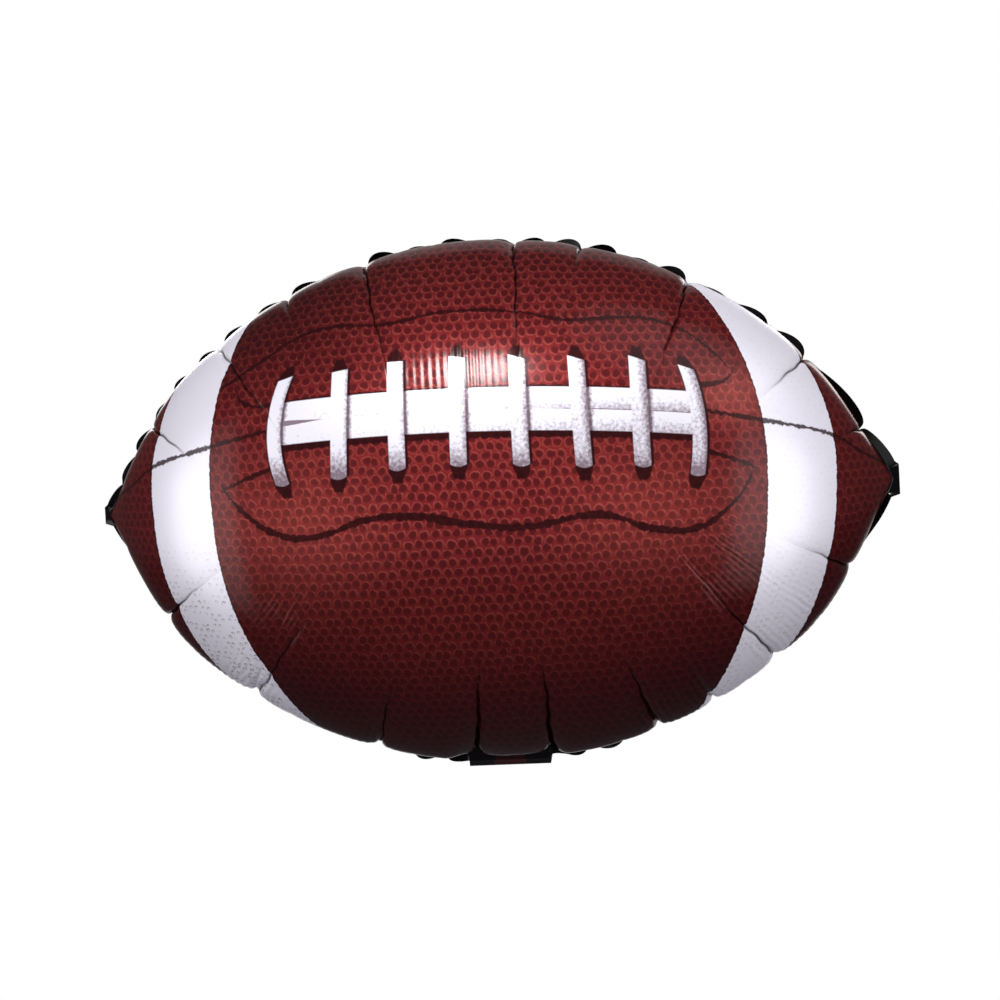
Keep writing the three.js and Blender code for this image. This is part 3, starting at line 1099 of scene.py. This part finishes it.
        # Painted sheen: patches brightened by their gain and tinted towards the gleam colour
        painted_sheen = 1.0
        for u, v, wide, tall, gain in self.sheen_patches:
            off = n("VectorMath SUBTRACT", film.flat, (u, v, 0.0))
            off = n("VectorMath LENGTH", n("VectorMath DIVIDE", off, (wide, tall, 1.0)))
            near = n("MapRange SMOOTHSTEP", off.outputs["Value"], 1.0, 0.0, 1.0, gain)
            painted_sheen = n("Math MULTIPLY", near, painted_sheen)
        dot = n("Math MULTIPLY_ADD", dot, crisp, n("MapRange", crisp, *self.dull_dot))
        colour = n("Mix RGBA", dot, linear(self.ground), linear(self.pebble))
        for factor in (crisp, self.rim_ink, painted_sheen):
            arc = n("Math MULTIPLY", arc, factor)
        for lit in (arc, n("MapRange", painted_sheen, *self.sheen_tint)):
            colour = n("Mix RGBA", lit, colour, linear(self.gleam))

        # Darker towards the bottom, the top and the ends: partly the print's own shading, partly painted
        # shade
        reach = self.tone_reach
        level = [((height + reach) / (2 * reach), tone / 2) for height, tone in self.leather_tone]
        tone = n("FloatCurve", 1.0, n("MapRange", z, -reach, reach), points=level)
        # Painted shade: a patch at the top left darkened
        shaded_corner = n("MapRange", x, *self.tone_left)
        shaded_corner = n("Math MAXIMUM", shaded_corner, n("MapRange", z, *self.tone_top))
        for factor in (n("MapRange", side, *self.tone_aside), shaded_corner, painted_sheen):
            tone = n("Math MULTIPLY", tone, factor)
        return n("VectorMath SCALE", colour, tone)

    def stripes(self, n: Adder, film: FilmPlace) -> Node:
        """Distance into a white stripe.

        The edges are parabolas, edge - bend * (z - axis)^2 from the middle, the outer bent a little
        more, and above the axis both lean to the left by lean * (z - axis)^2.

        Args:
            n: Adds a node.
            film: The place on the film.

        Returns:
            The node that gives the distance in, which is negative outside.
        """
        x, z = film.frayed.outputs[:2]
        z = n("Math SUBTRACT", z, self.stripe_axis)
        raised = n("Math MAXIMUM", z, 0.0)
        lean = n("Math MULTIPLY", n("Math MULTIPLY", raised, raised), self.stripe_lean)
        x = n("Math ADD", n("Math SUBTRACT", x, self.stripe_middle), lean)
        squared = n("Math MULTIPLY", z, z)
        inner = n("Math MULTIPLY_ADD", squared, self.stripe_bend, n("Math ABSOLUTE", x))
        outer = n("Math MULTIPLY_ADD", squared, self.outer_bend, inner)
        past_inner = n("Math SUBTRACT", inner, self.stripe_inner)
        return n("Math MINIMUM", past_inner, n("Math SUBTRACT", self.stripe_outer, outer))

    def dimpled_white(self, n: Adder, film: FilmPlace) -> Node:
        """The stripes' white, with faint dimples.

        Args:
            n: Adds a node.
            film: The place on the film.

        Returns:
            The node that gives the colour.
        """
        x, z = film.clean.outputs[:2]
        patch = n("TexNoise 2D", {"Vector": film.flat, "Scale": self.patch_scale, "Detail": 2.0})
        where = n("MapRange", z, *self.dimple_low)
        where = n("Math MAXIMUM", where, n("MapRange", x, *self.dimple_right))
        dimple = self.pebbles(n, film, self.dimple_pitch, self.dimple_rim)[1]
        for factor in (where, n("MapRange", patch, *self.patch_edge), n("MapRange", x, *self.dimple_fade)):
            dimple = n("Math MULTIPLY", dimple, factor)
        return n("Mix RGBA", dimple, linear(self.white), linear(self.shade))

    def stitches(self, n: Adder, film: FilmPlace) -> Node:
        """The inked lines, which swell and thin as they run.

        Args:
            n: Adds a node.
            film: The place on the film.

        Returns:
            The node that gives how much ink lies there, from 0 to 1.
        """
        x, z = film.rough.outputs[:2]
        side = n("Math ABSOLUTE", n("Math SUBTRACT", x, self.stripe_middle))
        swell = n("TexNoise 2D", {"Vector": film.flat, "Scale": self.line_scale, "Detail": 3.0})
        swell = n("MapRange", swell, *self.line_swell)
        reach, (low, high) = self.line_reach, self.line_levels
        total = 0.0
        for line in self.ink_lines:
            along = side if line.mirrored else x
            unit = [((u + reach) / (2 * reach), (v - low) / (high - low)) for u, v in line.knots]
            level = n("FloatCurve", 1.0, n("MapRange", along, -reach, reach), points=unit)
            level = n("MapRange", level, 0.0, 1.0, low, high)
            off = n("Math ABSOLUTE", n("Math SUBTRACT", z, level))
            off = n("Math SUBTRACT", off, n("Math MULTIPLY", swell, line.width / 2))
            ink = n("MapRange", off, *self.line_edge)
            for end, inward in ((line.knots[0][0], 1.0), (line.knots[-1][0], -1.0)):
                ink = n("Math MULTIPLY", ink, n("MapRange", along, end - inward, end + inward))
            total = n("Math MAXIMUM", total, ink)
        return n("Math MULTIPLY", total, self.line_ink)

    def lace_spot(self, n: Adder, film: FilmPlace) -> LaceSpot:
        """Finds the nearest cross lace, moved, bowed and sloped as that lace is.

        The laces stand along a bent axis, axis - bend * (x - crest)^2.

        Args:
            n: Adds a node.
            film: The place on the film.

        Returns:
            The place by that lace.
        """
        last = self.lace_count - 1
        x, z = film.clean.outputs[:2]
        aside = n("Math SUBTRACT", x, self.lace_crest)
        sag = n("Math MULTIPLY", n("Math MULTIPLY", aside, aside), self.lace_bend)
        axis = n("Math SUBTRACT", self.lace_axis, sag)
        z = n("Math SUBTRACT", z, axis)
        level = n("Math SUBTRACT", film.rough.outputs[1], axis)
        first = self.lace_middle - self.lace_pitch * last / 2
        place = n("Math DIVIDE", n("Math SUBTRACT", x, first), self.lace_pitch)
        number = n("Clamp", n("Math ROUND", place), 0.0, float(last))
        share = n("Math DIVIDE", number, float(last))
        across = n("Math MULTIPLY", n("Math SUBTRACT", place, number), self.lace_pitch)

        moves = []
        tables = (self.lace_rise, self.lace_shift, self.lace_bow, self.lace_slope)
        for values, span in zip(tables, self.move_spans):
            unit = [(i / last, 0.5 + value / span) for i, value in enumerate(values)]
            curve = n("FloatCurve", 1.0, share, points=unit)
            moves.append(n("MapRange", curve, 0.0, 1.0, -span / 2, span / 2))
        rise, shift, bow, slope = moves
        bar = n("Math SUBTRACT", z, rise)
        bowed = n("Math MULTIPLY", bow, n("Math MULTIPLY", bar, bar))
        sloped = n("Math MULTIPLY", slope, n("Math MULTIPLY", z, -1.0))
        for moved in (shift, bowed, sloped):
            across = n("Math SUBTRACT", across, moved)

        outer = n("Math ABSOLUTE", n("Math SUBTRACT", share, 0.5))
        half = n("MapRange", outer, *self.lace_half_width)
        above = n("Math MULTIPLY_ADD", across, n("MapRange", share, *self.lace_slant), bar)
        below = n("Math MULTIPLY", n("Math MULTIPLY", across, across), self.foot_bow)
        below = n("Math SUBTRACT", below, bar)
        past = n("Math SUBTRACT", n("Math MAXIMUM", above, below), self.lace_half_height)
        (left, right), fade = self.band_ends, self.band_fade
        along = n("MapRange", x, left - fade, left + fade)
        along = n("Math MULTIPLY", along, n("MapRange", x, right + fade, right - fade))
        return LaceSpot(x, z, level, rise, across, half, past, share, along)

    def lace_shadow(self, n: Adder, spot: LaceSpot) -> Node:
        """The dark holes at the laces' ends and the shadow under the band.

        Args:
            n: Adds a node.
            spot: The place by the nearest lace.

        Returns:
            The node that gives how dark it is, from 0 to 1.
        """
        tall, band, long = self.lace_half_height, self.band_half_height, self.hole_length
        deep = n("Math ABSOLUTE", n("Math SUBTRACT", spot.level, spot.rise))
        deep = n("Math SUBTRACT", deep, tall)
        mouth = n("MapRange", spot.z, -tall, tall, *self.hole_mouth)
        wide = n("Math MULTIPLY", mouth, n("MapRange", deep, 1.0, long, *self.hole_taper))
        hole = n("Math SUBTRACT", n("Math ABSOLUTE", spot.across), wide)
        hole = n("MapRange", hole, self.hole_edge, -self.hole_edge)
        ends = n("MapRange", deep, long + self.hole_end, long - self.hole_end)
        hole = n("Math MULTIPLY", hole, ends)
        under = n("MapRange", spot.level, *(edge - band for edge in self.band_shadow))
        over = n("MapRange", spot.level, *(edge + band for edge in self.band_line))
        beneath = n("Math MULTIPLY", n("Math MULTIPLY", under, over), spot.along)
        return n("Math MULTIPLY", n("Math MAXIMUM", hole, beneath), self.shadow_ink)

    def lace_band(self, n: Adder, spot: LaceSpot) -> tuple[Node, Node]:
        """The two strands under the laces, shaded along their lower sides and parted at the ends.

        Args:
            n: Adds a node.
            spot: The place by the nearest lace.

        Returns:
            The nodes that give whether the band lies there and how deep its shading is.
        """
        tall = self.band_half_height
        upper = n("MapRange", spot.z, *self.upper_strand)
        upper = n("Math MULTIPLY", upper, n("MapRange", spot.z, *self.strand_gap))
        strand = n("Math MAXIMUM", upper, n("MapRange", spot.z, self.lower_strand, -tall))
        strand = n("Math MULTIPLY", strand, n("MapRange", spot.x, *self.strand_right))
        gap = n("Math SUBTRACT", spot.across, spot.half)
        beside = n("MapRange", gap, *self.beside_bar)
        beside = n("Math MULTIPLY", beside, n("MapRange", spot.across, *self.beside_right))
        depth = n("Math MAXIMUM", strand, n("Math MULTIPLY", beside, self.beside_depth))
        middle = n("Math ABSOLUTE", spot.z)
        slit = n("MapRange", spot.x, *self.left_slit)
        slit = n("Math MAXIMUM", slit, n("MapRange", spot.x, *self.right_slit))
        slit = n("MapRange", n("Math SUBTRACT", middle, slit), *self.slit_edge)
        depth = n("Math MAXIMUM", depth, slit)
        mask = n("MapRange", middle, tall + self.lace_edge, tall - self.lace_edge)
        return n("Math MULTIPLY", mask, spot.along), depth

    def lace_bars(self, n: Adder, spot: LaceSpot) -> tuple[Node, Node]:
        """The cross laces, shaded at the foot and on the right, more so towards the right end.

        Args:
            n: Adds a node.
            spot: The place by the nearest lace.

        Returns:
            The nodes that give whether a lace lies there and how deep its shading is.
        """
        tall = self.lace_half_height
        rightward = n("MapRange", spot.share, *self.bar_right)
        start, stop = (level * tall for level in self.bar_foot)
        foot = n("MapRange", spot.z, start, stop, 0.0, self.bar_foot_depth)
        gap = n("Math SUBTRACT", spot.across, spot.half)
        side = n("MapRange", gap, n("MapRange", rightward, 0.0, 1.0, *self.bar_side), 0.0)
        side = n("Math MULTIPLY", side, n("MapRange", rightward, 0.0, 1.0, *self.bar_side_depth))
        drop = n("MapRange", spot.z, tall, -tall, 0.0, self.bar_drop)
        drop = n("Math MULTIPLY", drop, rightward)
        depth = n("Math MAXIMUM", n("Math MAXIMUM", foot, side), drop)
        aside = n("Math SUBTRACT", n("Math ABSOLUTE", spot.across), spot.half)
        edge = (self.lace_edge, -self.lace_edge)
        return n("Math MULTIPLY", n("MapRange", aside, *edge), n("MapRange", spot.past, *edge)), depth

    def laces(self, n: Adder, film: FilmPlace, colour: Node) -> Node:
        """Cross laces over a band of two strands, with their holes, shadows and mottled shading.

        Each cross lace has a dark line on its right, which is fainter over the band.

        Args:
            n: Adds a node.
            film: The place on the film.
            colour: What the laces lie on.

        Returns:
            The node that gives the colour.
        """
        spot = self.lace_spot(n, film)
        grain = {"Vector": film.flat, "Scale": self.grain_scale, "Detail": 4.0, "Roughness": 0.6}
        grain = n("Math SUBTRACT", n("TexNoise 2D", grain), 0.5)
        band, bars = self.lace_band(n, spot), self.lace_bars(n, spot)
        right = n("Math ABSOLUTE", n("Math SUBTRACT", spot.across, 1.0))
        right = n("MapRange", n("Math SUBTRACT", right, spot.half), *self.bar_line)
        line = n("Math MULTIPLY", right, n("MapRange", spot.past, *self.bar_line))
        line = n("Math MULTIPLY", line, n("MapRange", band[0], 0.0, 1.0, *self.bar_line_ink))
        for dark, (mask, depth) in ((self.lace_shadow(n, spot), band), (line, bars)):
            colour = n("Mix RGBA", dark, colour, linear(self.ink_line))
            mottle = n("Math MULTIPLY_ADD", grain, self.mottle, depth)
            tint = n("MapRange", mottle, *self.cotton_tint)
            cotton = n("Mix RGBA", tint, linear(self.white), linear(self.shade))
            colour = n("Mix RGBA", mask, colour, cotton)
        return colour


@dataclass(frozen=True)
class BlackFilm:
    """Black printed foil laminate, heat sealed: deep gloss broken by the sealing bar's fine ribs.

    Sizes are millimetres of flat film.
    """

    ink: str = "#070507"
    channel: str = "#3A1312"
    rib_pitch: float = 1.6
    rib_height: float = 0.02
    channel_width: float = 20.0
    channel_fade: float = 12.0
    channel_edge: float = 1.0
    rib_edge: float = 1.5

    def make(self, film_span: float) -> bpy.types.Material:
        """Builds the black film's material.

        Args:
            film_span: Width of film, in metres, that the UV square covers.

        Returns:
            The material.
        """
        material, n = new_material("sealed_black_laminate")
        x, z = n("SeparateXYZ", film_place(n, film_span)).outputs[:2]
        side, half = n("Math ABSOLUTE", x), self.channel_width / 2
        brown = n("MapRange", side, half, half - self.channel_edge)
        brown = n("Math MULTIPLY", brown, n("MapRange", z, -self.channel_fade, 0.0))
        colour = n("Mix RGBA", brown, linear(self.ink), linear(self.channel))
        rib = n("Math SINE", n("Math MULTIPLY", z, 2 * math.pi / self.rib_pitch))
        rib = n("Math MULTIPLY", rib, n("MapRange", side, half, half + self.rib_edge))
        bump = n("Bump", {"Height": rib, "Distance": self.rib_height * MM})
        n("OutputMaterial", n("BsdfPrincipled", {"Base Color": colour, "Roughness": 0.24, "Normal": bump}))
        return material


@dataclass(frozen=True)
class ValveFilm:
    """Blown polyethylene film: soft, clear and slightly hazy."""

    tint: str = "#DDE2E6"
    haze_scale: float = 120.0
    haze: Span = (0.3, 0.7, 0.25, 0.4)

    def make(self) -> bpy.types.Material:
        """Builds the valve film's material.

        Returns:
            The material.
        """
        material, n = new_material("clear_polyethylene_film")
        haze = n("TexNoise", {"Scale": self.haze_scale, "Detail": 2.0})
        film = n("BsdfPrincipled", {
            "Base Color": linear(self.tint), "Roughness": n("MapRange", haze, *self.haze), "IOR": 1.51,
            "Transmission Weight": 0.6,
        })
        n("OutputMaterial", film)
        return material


@dataclass(frozen=True)
class Lamp:
    """An oval softbox: its name, where it hangs, its width and height, and its power in watts."""

    name: str
    place: tuple[float, float, float]
    size: tuple[float, float]
    power: float


@dataclass
class Studio:
    """Floor, backdrop, soft lights and the camera."""

    centre: Vector
    aim: tuple[float, float, float] = (0.002, 0.0, -0.0017)
    distance: float = 1.9
    azimuth: float = 6.5
    elevation: float = 3.0
    roll: float = 3.0
    view_width: float = 0.574
    floor_drop: float = 1.4
    backdrop_distance: float = 2.6
    reach: float = 6.0
    sensor: float = 36.0
    paper: str = "#EDEBF0"
    sky: str = "#D9D4E4"
    backdrop_fade: Span = (1.0, 2.2, 1.0, 0.15)
    sky_levels: tuple[float, float] = (0.14, 0.25)
    lamp_spread: float = 70.0
    lamps: tuple[Lamp, ...] = (
        Lamp("key", (-0.17, -1.28, 1.01), (0.24, 0.36), 2.2),
        Lamp("left", (-1.60, -0.90, 0.05), (0.9, 2.2), 2.45),
        Lamp("right", (1.38, -1.22, -0.1), (1.0, 2.2), 2.95),
        Lamp("upper_right", (0.85, -0.80, 1.25), (1.5, 1.5), 1.4),
        Lamp("rear_left", (-0.9, 1.8, 0.8), (0.6, 0.9), 1.0),
        Lamp("rear_right", (0.9, 1.8, 0.8), (0.6, 0.9), 1.0),
    )

    @property
    def target(self) -> Vector:
        """What the camera and the lamps look at."""
        return self.centre + Vector(self.aim)

    def sheet(self, name: str, corners: list[tuple[float, float, float]],
              material: bpy.types.Material) -> bpy.types.Object:
        """Lays one four-cornered sheet of the stage.

        Args:
            name: The sheet's name.
            corners: Its corners in turn.
            material: Its finish.

        Returns:
            The linked object.
        """
        mesh = bpy.data.meshes.new(name)
        mesh.from_pydata(corners, [], [(0, 1, 2, 3)])
        mesh.materials.append(material)
        piece = bpy.data.objects.new(name, mesh)
        bpy.context.scene.collection.objects.link(piece)
        return piece

    def seen(self, n: Adder) -> Node:
        """Tells rays that show a thing to the eye from those that only light others.

        Args:
            n: Adds a node.

        Returns:
            The node that gives 1 for what is seen directly, in a reflection or through film.
        """
        path = n("LightPath").outputs
        seen = n("Math MAXIMUM", path["Is Camera Ray"], path["Is Glossy Ray"])
        return n("Math MAXIMUM", seen, path["Is Transmission Ray"])

    def floor_paper(self) -> bpy.types.Material:
        """Matt pale paper, as a studio floor is.

        Returns:
            The material.
        """
        material, n = new_material("studio_paper")
        n("OutputMaterial", n("BsdfDiffuse", {"Color": linear(self.paper)}))
        return material

    def lit_paper(self) -> bpy.types.Material:
        """The same paper lit from behind: white to the eye and in reflections, fading to the sides.

        Returns:
            The material.
        """
        material, n = new_material("lit_backdrop_paper")
        paper = n("BsdfDiffuse", {"Color": linear(self.paper)})
        place = n("SeparateXYZ", n("TexCoord").outputs["Object"])
        level = n("MapRange SMOOTHSTEP", n("Math ABSOLUTE", place.outputs[0]), *self.backdrop_fade)
        white = n("Emission", {"Color": (1.0, 1.0, 1.0, 1.0), "Strength": level})
        n("OutputMaterial", n("MixShader", self.seen(n), paper, white))
        return material

    def stage(self) -> None:
        """Lays the floor and hangs the backdrop well behind."""
        floor, back, wide = -self.floor_drop, self.backdrop_distance, self.reach
        ground = self.sheet("floor", [(-wide, -wide, floor), (wide, -wide, floor), (wide, wide, floor),
                                      (-wide, wide, floor)], self.floor_paper())
        wall = self.sheet("backdrop", [(-wide, back, floor), (wide, back, floor), (wide, back, wide),
                                       (-wide, back, wide)], self.lit_paper())

    def light(self) -> None:
        """Hangs the key above the camera and softboxes at the sides and the back, in a dim pale room."""
        for lamp in self.lamps:
            light = bpy.data.lights.new(lamp.name, "AREA")
            light.shape = "ELLIPSE"
            light.size, light.size_y = lamp.size
            light.energy = lamp.power
            light.spread = math.radians(self.lamp_spread)
            holder = bpy.data.objects.new(lamp.name, light)
            turn = (self.target - Vector(lamp.place)).to_track_quat("-Z", "Y")
            holder.matrix_world = Matrix.Translation(lamp.place) @ turn.to_matrix().to_4x4()
            bpy.context.scene.collection.objects.link(holder)
        world = bpy.data.worlds.new("studio_room")
        world.use_nodes = True
        world.node_tree.nodes.clear()
        n = partial(add_node, world.node_tree)
        strength = n("MapRange", self.seen(n), 0.0, 1.0, *self.sky_levels)
        n("OutputWorld", n("Background", {"Color": linear(self.sky), "Strength": strength}))
        bpy.context.scene.world = world

    def set_camera(self) -> None:
        """Looks at the target from the photograph's angle, with its tilt."""
        camera = bpy.data.cameras.new("camera")
        camera.sensor_width = self.sensor
        camera.lens = self.sensor * self.distance / self.view_width
        holder = bpy.data.objects.new("camera", camera)
        bpy.context.scene.collection.objects.link(holder)
        a, e = math.radians(self.azimuth), math.radians(self.elevation)
        back = Vector((math.sin(a) * math.cos(e), -math.cos(a) * math.cos(e), math.sin(e)))
        turn = (-back).to_track_quat("-Z", "Y").to_matrix().to_4x4()
        roll = Matrix.Rotation(math.radians(-self.roll), 4, "Z")
        holder.matrix_world = Matrix.Translation(self.target + back * self.distance) @ turn @ roll
        bpy.context.scene.camera = holder


def main() -> None:
    """Builds the balloon's looks in order and reports each piece."""
    logging.basicConfig(level=logging.INFO, format="%(message)s")
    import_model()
    envelope = Envelope()
    tail = FillingTail(envelope)
    printed = FootballPrint().make(envelope.film_span)
    black = BlackFilm().make(envelope.film_span)
    clear = ValveFilm().make()

    for facing, side in ((Facing.FRONT, "front"), (Facing.BACK, "back")):
        panel = envelope.panel(facing).make(side + "_film", envelope.film_span)
        panel.data.materials.append(printed)
        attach(panel, "envelope")
        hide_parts(side + "_panel")
        ply = tail.ply(facing).make(side + "_tail_film", envelope.film_span)
        ply.data.materials.append(black)
        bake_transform(ply)
        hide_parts(side + "_tail")
        for piece in (panel, ply):
            LOG.info("%s: %d quads", piece.name, len(piece.data.polygons))

    for node in ("valve_film_front", "valve_film_back", "valve_inlet_front", "valve_inlet_back"):
        piece = bpy.data.objects[node]
        piece.data.materials.clear()
        piece.data.materials.append(clear)
        LOG.info("%s: kept, in clear film", node)

    studio = Studio(Vector((0, 0, envelope.centre_height)))
    studio.stage()
    studio.light()
    studio.set_camera()
    bpy.context.scene.view_settings.view_transform = "Standard"


if __name__ == "__main__":
    main()
